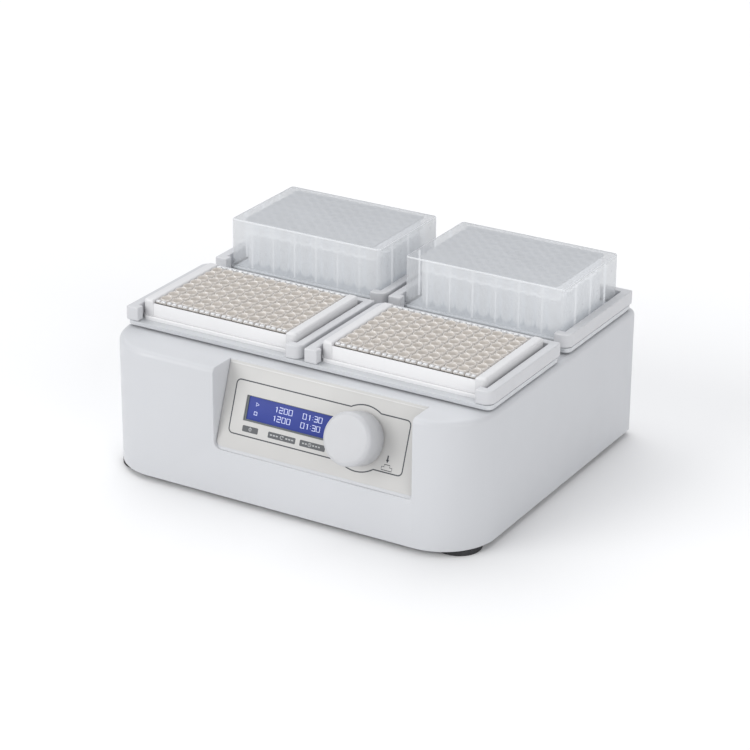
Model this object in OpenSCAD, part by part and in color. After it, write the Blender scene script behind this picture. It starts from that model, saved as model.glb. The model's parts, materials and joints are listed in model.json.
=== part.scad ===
// Orbital shaker for four microplates.
// Frame: X to the right, Y to the back, Z up; the origin is on the bench, under the middle of the object.
// At rest the platform stands at the rearmost point of its orbit.

/* [Housing] */
// Width of the housing
body_w = 291; // [285:1:310]
// Depth of the housing
body_d = 248; // [240:1:270]
// Height of the housing's top face above the bench
body_top = 97; // [92:1:110]
// Height of the housing's lower edge above the bench
body_bottom = 4; // [3:0.5:5]
// Thickness of the housing's wall
wall = 3; // [2:0.5:4]
// Radius of the two upright front corners
front_corner_r = 40; // [25:1:44]
// Radius of the two upright back corners
rear_corner_r = 7; // [5:1:12]

/* [Feet] */
// Diameter of a rubber foot
foot_d = 32; // [20:1:36]
// Sideways distance of a foot from the middle
foot_x = 125.5; // [110:0.5:126]
// Distance of the front feet in front of the housing's middle
foot_front = 97.5; // [85:0.5:98]
// Distance of the back feet behind the housing's middle
foot_back = 84; // [75:1:95]

/* [Control panel] */
// Left side of the panel pocket
pocket_left = -50; // [-60:1:-40]
// Right side of the panel pocket
pocket_right = 104; // [95:1:110]
// Height of the panel's lower edge above the bench
panel_z = 40.5; // [36:0.5:44]
// Distance of the panel's lower edge behind the housing's front face
panel_setback = 1.5; // [1:0.5:3]
// Angle that the panel leans back from upright
panel_lean = 20; // [15:1:22]
// Width of the display window
lcd_w = 68; // [60:1:70]
// Height of the display window
lcd_h = 17.6; // [14:0.2:20]

/* [Knob] */
// Diameter of the knob
knob_d = 36.4; // [30:0.2:38]
// Height of the knob's face above the panel
knob_h = 21; // [17:0.5:24]
// Sideways place of the knob
knob_x = 59.2; // [57:0.2:62]
// Distance of the knob's centre up the panel from its lower edge
knob_v = 29; // [27:0.5:31]
// How far the knob pushes in
knob_travel = 0.8; // [0.5:0.1:1]

/* [Orbit] */
// Distance between the crank's axis and the platform bearing's axis: half the orbit's diameter
orbit_r = 1.5; // [1:0.5:1.5]
// Distance of the crank's axis behind the housing's middle
platform_back = 12.2; // [11:0.1:14]

/* [Platform] */
// Sideways pitch of the nests
nest_pitch_x = 145; // [144.4:0.1:146]
// Pitch of the nests from front to back
nest_pitch_y = 110.8; // [108:0.1:114]
// Width of a nest
nest_w = 141.8; // [140:0.1:142]
// Depth of a nest
nest_d = 98.6; // [96:0.1:100]
// Height of a nest's rails above the plate seat
rail_h = 10; // [8:0.5:11]
// Thickness of a tray
tray_t = 3; // [2:0.5:3]
// Gap between the housing's top and the trays
tray_gap = 1.5; // [1.5:0.5:3]

/* [Microplates] */
// Length of a microplate's foot (the standard footprint)
plate_l = 127.76; // [127.26:0.01:128.26]
// Width of a microplate's foot (the standard footprint)
plate_w = 85.48; // [84.98:0.01:85.98]
// Height of a strip microplate
strip_plate_h = 14.35; // [13:0.05:15]
// Height of a deep-well plate
deep_plate_h = 38.4; // [30:0.1:42]
// Pitch of the wells (the standard pitch)
well_pitch = 9; // [9:0.1:9]

/* [Hidden] */
$fn = 64;
eps = 0.01;
run = 0.03;  // radial clearance of a journal in its bearing

// Control panel: its outer face is the plane z = 0 of its own frame, with the lower edge at y = 0
overlay_t = 0.8;
panel_len = (body_top - panel_z) / cos(panel_lean);
knob_rim = 2.5;  // rounding of the knob's edge
knob_gap = 2 * knob_travel;  // space under the knob
encoder_hole_r = 5;
lcd_at = [2, 30];  // centre of the display window

// Rocker switch and inlet on the back
bezel_t = 2;
rocker_tilt = 12;
rocker_half = 8;
rocker_face = 3.2;
rocker_end = rocker_face + rocker_half * tan(rocker_tilt);
rocker_reach = rocker_end * cos(rocker_tilt) + rocker_half * sin(rocker_tilt);
pivot_depth = 1.6;  // pivot of the rocker behind the bezel's face

// Front and back extremes, which put the origin under the middle of the whole object
knob_front = (knob_h - knob_rim) * cos(panel_lean) + (knob_d/2 - knob_rim) * sin(panel_lean) + knob_rim
    - knob_v * sin(panel_lean) - panel_setback;
rear_reach = bezel_t - pivot_depth + rocker_reach;
body_y = (knob_front - rear_reach) / 2;
front_y = body_y - body_d/2;
back_y = body_y + body_d/2;
platform_y = body_y + platform_back;

// Heights of the drive, from the bench up
base_z = 5;
base_t = 2;
floor_z = base_z + base_t;
deck_z = 58;
deck_t = 8;
deck_top = deck_z + deck_t;
seat_z = body_top + tray_gap + tray_t;  // plates stand here
carrier_top = seat_z - tray_t;
carrier_t = 7;
carrier_z = carrier_top - carrier_t;
hub_z = carrier_z - 8;
pin_top = carrier_z + 0.5;

// Rolling bearings
small_bearing = [4, 11, 7];   // bore radius, outer radius, width
main_bearing = [5, 13, 8];
idler_x = 78;
idler_y = 46;
idlers = [for (x = [-1, 1], y = [-1, 1]) [x * idler_x, y * idler_y]];

// Belt drive
motor_x = -62;
motor_r = 28;
lead_back = 7.5;  // how far behind the motor its lead runs
motor_pulley_r = 10;
crank_pulley_r = 25;
belt_z = deck_top + 2;
belt_w = 6;
belt_t = 1.8;
belt_gap = 0.3;

// Platform
deck_size = [220, 150];
deck_window = 24;  // width of the windows that lighten the deck
carrier_size = [200, 138];
carrier_window = 26;  // depth of the windows that lighten the carrier
opening_size = [212, 150];
tray_w = nest_pitch_x + nest_w - 0.4;
plate_clear = 0.5;
rail_t = (nest_w - plate_l) / 2 - plate_clear;
block_w = 9.8;
rear_rail_t = 5.6;
block_d = nest_d - plate_w - 2 * plate_clear - rear_rail_t;
nest_r = 7;
nests = [for (y = [-1, 1], x = [-1, 1]) [x * nest_pitch_x/2, platform_y + y * nest_pitch_y/2]];
plate_y0 = -nest_d/2 + block_d + plate_clear;  // front of a plate in its nest

// Fixings
boss_x = body_w/2 - wall - 4.6;
boss_ys = [-66, 0, 108];  // behind the housing's middle
bosses = [for (x = [-1, 1], y = boss_ys) [x * boss_x, body_y + y]];
pillar_x = 98;
pillar_y = 64;
pillars = [for (x = [-1, 1], y = [-1, 1]) [x * pillar_x, platform_y + y * pillar_y]];
feet_at = [for (x = [-1, 1], y = [-foot_front, foot_back]) [x * foot_x, body_y + y]];
tray_screw_x = 70;
inlet_x = 60;
switch_x = 24;
rear_z = 34;
inlet_cut = [27.4, 20];
switch_cut = [13.4, 20];
vents = [for (i = [0:9]) -100 + 9*i];  // sideways places of the slots in the back
vent_z = 62;
vent_size = [3, 34];

body_colour = [0.86, 0.88, 0.9];
platform_colour = [0.8, 0.82, 0.84];
metal = [0.72, 0.73, 0.75];
steel = [0.6, 0.61, 0.63];
board_green = [0.1, 0.35, 0.2];
black = [0.08, 0.08, 0.09];

// ---------- Shapes that repeat ----------

// Rectangle centred on the origin, with round corners made of true arcs
module rounded_rect(w, d, r) {
    square([w - 2*r, d], center = true);
    square([w, d - 2*r], center = true);
    for (x = [-1, 1], y = [-1, 1]) translate([x * (w/2 - r), y * (d/2 - r)]) circle(r);
}

// Plan of the housing, moved in by inset
module body_outline(inset = 0) {
    w = body_w - 2*inset;
    d = body_d - 2*inset;
    rf = front_corner_r - inset;
    rr = rear_corner_r - inset;
    translate([0, body_y]) {
        translate([-w/2 + rf, -d/2]) square([w - 2*rf, d/2]);
        translate([-w/2, -d/2 + rf]) square([w, d - rf - rr]);
        translate([-w/2 + rr, 0]) square([w - 2*rr, d/2]);
        for (x = [-1, 1]) {
            translate([x * (w/2 - rf), -d/2 + rf]) circle(rf);
            translate([x * (w/2 - rr), d/2 - rr]) circle(rr);
        }
    }
}

// Draws its children in the panel's own frame: x to the right, y up the panel, z out of it
module on_panel() {
    translate([0, front_y + panel_setback, panel_z]) rotate([90 - panel_lean, 0, 0]) children();
}

// Extrudes a (Y, Z) outline along X from x0 to x1
module along_x(x0, x1) {
    translate([x0, 0, 0]) rotate([90, 0, 90]) linear_extrude(x1 - x0) children();
}

module ring(r_in, r_out, h) {
    difference() {
        cylinder(r = r_out, h = h);
        translate([0, 0, -1]) cylinder(r = r_in, h = h + 2);
    }
}

module bearing(size) {
    ring(size[0], size[1], size[2]);
}

module screw(shank_r, shank_l, head_r, head_h) {
    cylinder(r = head_r, h = head_h);
    translate([0, 0, -shank_l]) cylinder(r = shank_r, h = shank_l + eps);
}

module at_each(points, z = 0) {
    for (p = points) translate([p[0], p[1], z]) children();
}

// ---------- Housing and base ----------

// Pocket for the panel, with its faces moved out by grow
module pocket(grow = 0) {
    depth = overlay_t + grow;
    y0 = front_y + panel_setback + depth / cos(panel_lean);
    z_low = panel_z - 2 - grow;
    slope = tan(panel_lean);
    along_x(pocket_left - grow, pocket_right + grow) polygon([
        [front_y - 5, z_low],
        [y0 + (z_low - panel_z) * slope, z_low],
        [y0 + (body_top + 5 - panel_z) * slope, body_top + 5],
        [front_y - 5, body_top + 5]]);
}

module housing() {
    color(body_colour) difference() {
        union() {
            difference() {
                translate([0, 0, body_bottom]) linear_extrude(body_top - body_bottom) body_outline();
                translate([0, 0, body_bottom - 1])
                    linear_extrude(body_top - wall - body_bottom + 1) body_outline(wall);
            }
            intersection() {
                translate([0, 0, body_bottom + 5]) linear_extrude(body_top - body_bottom - 5)
                    body_outline(1);
                pocket(wall);
            }
            at_each(bosses, floor_z) cylinder(r = 5, h = body_top - floor_z - 1);
        }
        pocket();
        at_each(bosses, floor_z - 1) cylinder(r = 1.6, h = 16);
        translate([0, platform_y, body_top - 10]) linear_extrude(20)
            rounded_rect(opening_size[0], opening_size[1], 12);
        on_panel() {
            translate([lcd_at[0], lcd_at[1], -10]) linear_extrude(20)
                square([lcd_w + 3, lcd_h + 3], center = true);
            translate([knob_x, knob_v, -10]) cylinder(r = encoder_hole_r, h = 20);
        }
        translate([inlet_x, back_y, rear_z]) cube([inlet_cut[0], 20, inlet_cut[1]], center = true);
        translate([switch_x, back_y, rear_z]) cube([switch_cut[0], 20, switch_cut[1]], center = true);
        for (x = vents) translate([x, back_y, vent_z]) cube([vent_size[0], 20, vent_size[1]], center = true);
    }
}

module base_plate() {
    color(steel) difference() {
        translate([0, 0, base_z]) linear_extrude(base_t) body_outline(wall + 0.4);
        at_each(bosses, base_z - 1) cylinder(r = 1.9, h = 4);
        at_each(feet_at, base_z - 1) cylinder(r = 2.2, h = 4);
        at_each(pillars, base_z - 1) cylinder(r = 2.2, h = 4);
        for (x = [-1, 1], i = [0:7]) translate([x * 60, platform_y - 35 + 10*i, base_z])
            cube([50, 4, 6], center = true);
    }
}

// The feet reach under the housing's wall; above its lower edge they stay inside it.
module feet() {
    color(black) difference() {
        union() {
            at_each(feet_at) cylinder(r = foot_d/2, h = body_bottom - 0.1);
            intersection() {
                at_each(feet_at) cylinder(r = foot_d/2, h = base_z);
                linear_extrude(base_z) body_outline(wall + 0.4);
            }
        }
        at_each(feet_at, -1) cylinder(r = 4.5, h = 3.6);
        at_each(feet_at, -1) cylinder(r = 2.1, h = 9);
    }
}

module foot_screws() {
    color(steel) at_each(feet_at, 0.6) {
        cylinder(r = 3.9, h = 2);
        cylinder(r = 2, h = 9);
        translate([0, 0, floor_z - 0.6]) cylinder(r = 3.5, h = 3, $fn = 6);
    }
}

module base_screws() {
    color(steel) at_each(bosses, base_z) mirror([0, 0, 1]) screw(1.5, 12, 3, 1.8);
    color(steel) at_each(pillars, base_z) mirror([0, 0, 1]) screw(2, 12, 3.6, 2.2);
}

// ---------- Control panel ----------

module panel_overlay() {
    color([0.93, 0.92, 0.9]) intersection() {
        on_panel() translate([0, 0, -overlay_t]) linear_extrude(overlay_t) difference() {
            translate([pocket_left + 0.5, 0.3])
                square([pocket_right - pocket_left - 1, panel_len + 2]);
            translate(lcd_at) square([lcd_w, lcd_h], center = true);
            translate([knob_x, knob_v]) circle(encoder_hole_r);
        }
        translate([-200, -300, 0]) cube([400, 400, body_top]);
    }
}

module display_window() {
    color([0.2, 0.25, 0.7]) on_panel() translate([lcd_at[0], lcd_at[1], -overlay_t - 1.5])
        linear_extrude(1.5) rounded_rect(lcd_w + 2.6, lcd_h + 2.6, 1);
}

module display_module() {
    color([0.3, 0.3, 0.32]) on_panel() translate([lcd_at[0], lcd_at[1], -overlay_t - wall - 1.4]) {
        translate([0, 0, -4]) linear_extrude(4) difference() {
            rounded_rect(lcd_w + 5, lcd_h + 8, 1);
            square([lcd_w - 2, lcd_h - 1], center = true);
        }
        translate([0, 0, -5.6]) linear_extrude(1.6) square([lcd_w + 6, 34], center = true);
        translate([0, 0, -4.1]) linear_extrude(2) square([lcd_w - 3, lcd_h - 2], center = true);
    }
}

board_face = -17;  // outer face of the control board, in the panel's frame
board_plan = [136, 44];
board_mid = [24, 29];

module control_board() {
    color(board_green) on_panel() translate([board_mid[0], board_mid[1], board_face - 1.6])
        linear_extrude(1.6) difference() {
            rounded_rect(board_plan[0], board_plan[1], 3);
            for (x = [-1, 1], y = [-1, 1])
                translate([x * (board_plan[0]/2 - 5), y * (board_plan[1]/2 - 5)]) circle(1.7);
        }
}

module board_spacers() {
    color(metal) on_panel() for (x = [-1, 1], y = [-1, 1])
        translate([board_mid[0] + x * (board_plan[0]/2 - 5), board_mid[1] + y * (board_plan[1]/2 - 5),
            board_face]) {
            cylinder(r = 3, h = -overlay_t - wall - board_face - eps);
            translate([0, 0, -3.4]) cylinder(r = 2.6, h = 1.8);
            translate([0, 0, -2]) cylinder(r = 1.5, h = 3);
        }
}

module encoder_body() {
    color(metal) on_panel() translate([knob_x, knob_v, 0]) difference() {
        union() {
            translate([0, 0, (board_face - 4.6)/2]) cube([13, 13, -board_face - 4.6], center = true);
            translate([0, 0, -5]) cylinder(r = 4.4, h = 9);
        }
        translate([0, 0, -9.5]) cylinder(r = 3 + run, h = 20);
        translate([0, 0, -15]) cylinder(r = 1.5 + run, h = 8);
    }
}

module encoder_nut() {
    color(metal) on_panel() translate([knob_x, knob_v, 0]) ring(4.4, 7, 2);
}

module encoder_plunger() {
    color(steel) on_panel() translate([knob_x, knob_v, -13.8]) cylinder(r = 1.5, h = 5.2);
}

module encoder_shaft() {
    color(steel) on_panel() translate([knob_x, knob_v, -8.6]) cylinder(r = 3, h = 8.6 + knob_h - 5);
}

module knob() {
    r = knob_d / 2;
    top = knob_h;
    color([0.93, 0.93, 0.93]) on_panel() translate([knob_x, knob_v, 0]) difference() {
        union() {
            translate([0, 0, knob_gap]) cylinder(r = r, h = top - knob_rim - knob_gap);
            translate([0, 0, top - knob_rim - eps]) cylinder(r = r - knob_rim, h = knob_rim + eps);
            translate([0, 0, top - knob_rim]) rotate_extrude() translate([r - knob_rim, 0])
                intersection() { circle(knob_rim); square(knob_rim); }
        }
        cylinder(r = 3, h = top - 5);
        difference() {
            cylinder(r = r - 2.4, h = top - 3);
            translate([0, 0, 5]) cylinder(r = 6, h = top);
        }
    }
}

// ---------- Chassis and drive ----------

module chassis_deck() {
    color(metal) translate([0, platform_y, 0]) difference() {
        union() {
            translate([0, 0, deck_z]) linear_extrude(deck_t)
                rounded_rect(deck_size[0], deck_size[1], 14);
            translate([0, 0, 34]) cylinder(r = 19, h = deck_z - 34 + eps);
            at_each(idlers, 48) cylinder(r = 15, h = deck_z - 48 + eps);
        }
        translate([0, 0, deck_top - main_bearing[2]]) cylinder(r = main_bearing[1], h = 20);
        translate([0, 0, 33]) cylinder(r = main_bearing[1], h = main_bearing[2] + 1);
        translate([0, 0, 30]) cylinder(r = 7, h = 50);
        at_each(idlers, deck_top - small_bearing[2]) cylinder(r = small_bearing[1], h = 20);
        at_each(idlers, 40) cylinder(r = 6, h = 40);
        at_each([for (p = pillars) [p[0], p[1] - platform_y]], deck_z - 1) cylinder(r = 2.2, h = 10);
        translate([motor_x, 0, deck_z - 1]) cylinder(r = 9, h = 10);
        for (a = [45:90:315]) translate([motor_x + 18*cos(a), 18*sin(a), deck_z - 1])
            cylinder(r = 2.2, h = 10);
        for (y = [-1, 1]) translate([0, y * 48, deck_z - 1]) linear_extrude(10)
            rounded_rect(110, deck_window, 6);
        translate([62, 0, deck_z - 1]) linear_extrude(10) rounded_rect(50, deck_window, 6);
    }
}

module deck_pillars() {
    color(metal) at_each(pillars, floor_z) difference() {
        cylinder(r = 7, h = deck_z - floor_z);
        translate([0, 0, -1]) cylinder(r = 2.05, h = 60);
    }
}

module deck_screws() {
    color(steel) at_each(pillars, deck_top) screw(2, 18, 3.8, 2.6);
}

module main_bearings() {
    color(steel) translate([0, platform_y, 0]) {
        translate([0, 0, 34]) bearing(main_bearing);
        translate([0, 0, deck_top - main_bearing[2]]) bearing(main_bearing);
    }
}

module idler_bearings() {
    color(steel) translate([0, platform_y, 0])
        at_each(idlers, deck_top - small_bearing[2]) bearing(small_bearing);
}

module crankshaft() {
    color(steel) translate([0, platform_y, 0]) {
        translate([0, 0, 32]) cylinder(r = main_bearing[0] - run, h = 50);
        translate([0, 0, hub_z - 1.7]) cylinder(r = 7, h = 2);
        translate([0, orbit_r, hub_z - 1]) cylinder(r = small_bearing[0] - run, h = pin_top - hub_z + 1);
    }
}

module crank_pulley() {
    color(metal) translate([0, platform_y, belt_z - 1.6]) {
        ring(main_bearing[0], crank_pulley_r, belt_w + 2.4);
        ring(main_bearing[0], crank_pulley_r + 2, 1.2);
        translate([0, 0, belt_w + 1.8]) ring(main_bearing[0], crank_pulley_r + 2, 1.2);
    }
}

module counterweight() {
    h = hub_z - 1.7 - (belt_z + belt_w + 1.4);
    color(steel) translate([0, platform_y, belt_z + belt_w + 1.4]) difference() {
        union() {
            linear_extrude(h) intersection() {
                circle(38);
                translate([-40, -40]) square([80, 40]);
            }
            cylinder(r = 12, h = h);
        }
        translate([0, 0, -1]) cylinder(r = main_bearing[0], h = h + 2);
    }
}

// Points of an arc about (x, 0)
function arc_points(x, r, from, to, steps) =
    [for (i = [0:steps]) let (a = from + (to - from) * i / steps) [x + r * cos(a), r * sin(a)]];

// Area inside a band that runs round both pulleys, extra beyond their rims
module belt_area(extra) {
    r1 = motor_pulley_r + extra;
    r2 = crank_pulley_r + extra;
    a = 180 - acos((r2 - r1) / abs(motor_x));
    polygon(concat(arc_points(0, r2, -a, a, 28), arc_points(motor_x, r1, a, 360 - a, 20)));
}

module drive_belt() {
    color(black) translate([0, platform_y, belt_z]) linear_extrude(belt_w) difference() {
        belt_area(belt_gap + belt_t);
        belt_area(belt_gap);
    }
}

module motor_body() {
    color([0.25, 0.25, 0.27]) translate([motor_x, platform_y, 0]) difference() {
        union() {
            translate([0, 0, 14]) cylinder(r = motor_r, h = deck_z - 14);
            translate([0, 0, 12]) cylinder(r = 8, h = 3);
            translate([0, 0, deck_z - 1]) cylinder(r = 8.8, h = 4);
        }
        translate([0, 0, 16]) cylinder(r = 3 + run, h = 60);
        for (a = [45:90:315]) translate([18*cos(a), 18*sin(a), deck_z - 8]) cylinder(r = 2, h = 20);
    }
}

module motor_screws() {
    color(steel) translate([motor_x, platform_y, deck_top]) for (a = [45:90:315])
        translate([18*cos(a), 18*sin(a), 0]) screw(1.9, deck_t + 6, 3, 0.9);
}

module motor_shaft() {
    color(steel) translate([motor_x, platform_y, 16.5]) cylinder(r = 3, h = belt_z + belt_w - 14);
}

module motor_pulley() {
    color(metal) translate([motor_x, platform_y, belt_z - 1]) {
        ring(3, motor_pulley_r, belt_w + 2);
        translate([0, 0, belt_w + 1.4]) ring(3, motor_pulley_r + 2, 1.2);
    }
}

module idler_crank(i) {
    translate([idlers[i][0], platform_y + idlers[i][1], 0]) color(steel) {
        translate([0, 0, 50]) cylinder(r = small_bearing[0] - run, h = deck_top - 50 + 2);
        translate([0, 0, deck_top + 1]) cylinder(r = 7, h = hub_z - deck_top - 1.5);
        translate([0, orbit_r, hub_z - 1]) cylinder(r = small_bearing[0] - run, h = pin_top - hub_z + 1);
    }
}

// ---------- Platform, drawn at the rearmost point of its orbit ----------

module platform_frame() {
    translate([0, orbit_r, 0]) children();
}

hubs = concat([[0, 0]], idlers);

module platform_carrier() {
    color(metal) platform_frame() translate([0, platform_y, 0]) difference() {
        union() {
            translate([0, 0, carrier_z]) linear_extrude(carrier_t)
                rounded_rect(carrier_size[0], carrier_size[1], 10);
            at_each(hubs, hub_z) cylinder(r = 15, h = carrier_z - hub_z + eps);
        }
        at_each(hubs, hub_z - 1) cylinder(r = small_bearing[1], h = small_bearing[2] + 1.5);
        at_each(hubs, hub_z - 1) cylinder(r = 6, h = 12);
        for (x = [-1, 1], y = [-1, 1])
            translate([x * 42, y * 34, carrier_z - 1]) linear_extrude(10)
                rounded_rect(40, carrier_window, 6);
        at_each(tray_screws_at(), carrier_z - 1) cylinder(r = 2.05, h = 10);
    }
}

function tray_screws_at() = [for (x = [-1, 1], y = [-58, -20, 20, 58]) [x * tray_screw_x, y]];

module carrier_bearings() {
    color(steel) platform_frame() translate([0, platform_y, 0])
        at_each(hubs, hub_z + 0.5) bearing(small_bearing);
}

module tray(side) {
    color(platform_colour) platform_frame() translate([0, platform_y, seat_z - tray_t])
        linear_extrude(tray_t) difference() {
            translate([0, side * nest_pitch_y/2]) rounded_rect(tray_w, nest_d, 5);
            for (p = tray_screws_at()) translate(p) circle(2.3);
        }
}

module tray_screws() {
    color(steel) platform_frame() translate([0, platform_y, seat_z])
        at_each(tray_screws_at()) translate([0, 0, -9]) cylinder(r = 2, h = 8.8);
}

// One nest about its own centre: two side rails, a back rail and two corner blocks that stop the plate
module nest() {
    color(platform_colour) linear_extrude(rail_h) difference() {
        union() {
            translate([-nest_w/2 + nest_r, -nest_d/2]) square([nest_w - 2*nest_r, nest_d]);
            translate([-nest_w/2, -nest_d/2]) square([nest_r + 1, nest_d - nest_r]);
            translate([nest_w/2 - nest_r - 1, -nest_d/2 + nest_r]) square([nest_r + 1, nest_d - nest_r]);
            translate([nest_w/2 - nest_r, -nest_d/2 + nest_r]) circle(nest_r);
            translate([-nest_w/2 + nest_r, nest_d/2 - nest_r]) circle(nest_r);
        }
        translate([-nest_w/2 + rail_t, -nest_d/2 + block_d])
            square([nest_w - 2*rail_t, nest_d - block_d - rear_rail_t]);
        translate([-nest_w/2 + block_w, -nest_d/2 - 1])
            square([nest_w - 2*block_w - 2, block_d + 2]);
    }
}

module placed_nest(i) {
    platform_frame() translate([nests[i][0], nests[i][1], seat_z]) nest();
}

// ---------- Microplates, about the front left corner of the foot ----------

foot_flange = 2.6;
side_inset = 1.6;
corner_cut = 4;
strip_pitch_x0 = plate_l/2 - 5.5 * well_pitch;
strip_l = 78;
strip_y0 = (plate_w - strip_l) / 2;

module plate_foot() {
    polygon([[corner_cut, 0], [plate_l, 0], [plate_l, plate_w - corner_cut],
        [plate_l - corner_cut, plate_w], [0, plate_w], [0, corner_cut]]);
}

module in_nest(i) {
    platform_frame() translate([nests[i][0] - plate_l/2, nests[i][1] + plate_y0, seat_z]) children();
}

module strip_frame(i) {
    h = strip_plate_h;
    inner = [12 * well_pitch + 0.6, plate_w - 2*side_inset - 3];
    color([0.95, 0.95, 0.95]) in_nest(i) difference() {
        union() {
            linear_extrude(foot_flange) plate_foot();
            translate([side_inset, side_inset, 0])
                cube([plate_l - 2*side_inset, plate_w - 2*side_inset, h]);
        }
        translate([(plate_l - inner[0])/2, (plate_w - inner[1])/2, -1]) cube([inner[0], inner[1], h + 2]);
        translate([(plate_l - inner[0])/2, -1, h - 2.4]) cube([inner[0], plate_w + 2, 5]);
    }
}

// Twelve strips of eight wells
module strips(i) {
    top = strip_plate_h - 0.2;
    color([0.85, 0.83, 0.8]) in_nest(i) for (s = [0:11])
        translate([strip_pitch_x0 + s * well_pitch, 0, 0]) difference() {
            union() {
                translate([-well_pitch/2 + 0.15, strip_y0, top - 2])
                    cube([well_pitch - 0.3, strip_l, 2]);
                for (w = [0:7]) translate([0, plate_w/2 + (w - 3.5) * well_pitch, 1.6])
                    cylinder(r = 3.9, h = top - 2);
            }
            for (w = [0:7]) translate([0, plate_w/2 + (w - 3.5) * well_pitch, 3])
                cylinder(r = 3.3, h = top);
        }
}

module deep_plate(i) {
    h = deep_plate_h;
    t = 1.4;
    inner = [plate_l - 2*side_inset - 2*t, plate_w - 2*side_inset - 2*t];
    color([0.85, 0.87, 0.9, 0.7]) in_nest(i) difference() {
        union() {
            difference() {
                union() {
                    linear_extrude(foot_flange) plate_foot();
                    translate([plate_l/2, plate_w/2, 0]) linear_extrude(h)
                        rounded_rect(plate_l - 2*side_inset, plate_w - 2*side_inset, 3);
                }
                translate([plate_l/2 - inner[0]/2, plate_w/2 - inner[1]/2, -1])
                    cube([inner[0], inner[1], h + 1 - 2]);
            }
            for (c = [0:11], r = [0:7])
                translate([plate_l/2 + (c - 5.5) * well_pitch, plate_w/2 + (r - 3.5) * well_pitch, 3])
                    cylinder(r = 4.3, h = h - 4);
        }
        for (c = [0:11], r = [0:7])
            translate([plate_l/2 + (c - 5.5) * well_pitch, plate_w/2 + (r - 3.5) * well_pitch, 4])
                cylinder(r = 3.8, h = h);
    }
}

// ---------- Power ----------

power_at = [30, body_y + 62];
power_plan = [100, 50];
terminal_y = 10;
terminal_d = 8;
terminal_h = 18;

module power_board() {
    color(board_green) translate([power_at[0], power_at[1], floor_z]) {
        translate([0, 0, 5]) linear_extrude(1.6) rounded_rect(power_plan[0], power_plan[1], 2);
        for (x = [-1, 1], y = [-1, 1])
            translate([x * (power_plan[0]/2 - 5), y * (power_plan[1]/2 - 5), 0]) cylinder(r = 3, h = 5);
    }
}

module power_parts() {
    translate([power_at[0], power_at[1], floor_z + 6.6]) {
        color([0.2, 0.2, 0.22]) translate([-40, -18, 0]) cube([34, 28, 26]);
        color(black) for (x = [10, 26]) translate([x, -14, 0]) cylinder(r = 6, h = 22);
        color(metal) translate([4, 0, 0]) cube([4, 18, 24]);
        color([0.9, 0.9, 0.85]) translate([20, terminal_y, 0]) cube([20, terminal_d, terminal_h]);
    }
}

module ribbon_cable() {
    color([0.7, 0.7, 0.72]) along_x(20, 40) polygon([
        [front_y + 31, 62], [front_y + 37, 62], [front_y + 37, 9], [power_at[1] - 35, 9],
        [power_at[1] - 35, 16], [power_at[1] - 36, 16], [power_at[1] - 36, 10], [front_y + 38, 10],
        [front_y + 38, 63], [front_y + 31, 63]]);
}

// Out of the motor's back, down to the floor and along it to the power board
module motor_lead() {
    r = 1.4;
    low = floor_z + r + 0.2;
    high = low + 8;
    color(black) {
        translate([motor_x, platform_y + motor_r, high]) rotate([-90, 0, 0])
            cylinder(r = r, h = lead_back + r);
        translate([motor_x, platform_y + motor_r + lead_back, low]) cylinder(r = r, h = high - low);
        translate([motor_x, platform_y + motor_r + lead_back, low]) rotate([0, 90, 0])
            cylinder(r = r, h = power_at[0] - power_plan[0]/2 - motor_x + 8);
    }
}

module mains_leads() {
    y0 = power_at[1] + terminal_y + terminal_d;
    color([0.35, 0.2, 0.1]) for (x = [-7, 0, 7]) translate([inlet_x + x, y0, rear_z - 6])
        rotate([-90, 0, 0]) cylinder(r = 1.2, h = back_y - 24 - y0);
}

module mains_inlet() {
    color(black) translate([inlet_x, 0, rear_z]) difference() {
        union() {
            translate([-13.5, back_y - 24, -9.8]) cube([27, 24, 19.6]);
            translate([-15.5, back_y, -12]) cube([31, bezel_t, 24]);
        }
        translate([-12, back_y - 15, -8.2]) cube([24, 20, 16.4]);
        for (p = [[-7, -2.5], [7, -2.5], [0, 2.5]]) translate([p[0] - 1, back_y - 30, p[1] - 2])
            cube([2, 20, 4]);
    }
}

module inlet_pins() {
    color(metal) translate([inlet_x, 0, rear_z]) for (p = [[-7, -2.5], [7, -2.5], [0, 2.5]])
        translate([p[0] - 1, back_y - 26, p[1] - 2]) cube([2, 23, 4]);
}

module switch_frame() {
    color(black) translate([switch_x, 0, rear_z]) difference() {
        union() {
            translate([-6.5, back_y - 20, -9.8]) cube([13, 20, 19.6]);
            translate([-8, back_y, -11.5]) cube([16, bezel_t, 23]);
        }
        translate([-5.4, back_y - 9, -9.25]) cube([10.8, 20, 18.5]);
    }
}

// Rocker about its pivot, resting with its upper half pushed in
module rocker() {
    color([0.5, 0.08, 0.08]) translate([0, back_y + bezel_t - pivot_depth, rear_z])
        rotate([rocker_tilt, 0, 0]) along_x(switch_x - 5, switch_x + 5) polygon([
            [-4, -3], [-4, 3], [-1, rocker_half], [rocker_end, rocker_half],
            [rocker_face, 0], [rocker_end, -rocker_half], [-1, -rocker_half]]);
}

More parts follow.
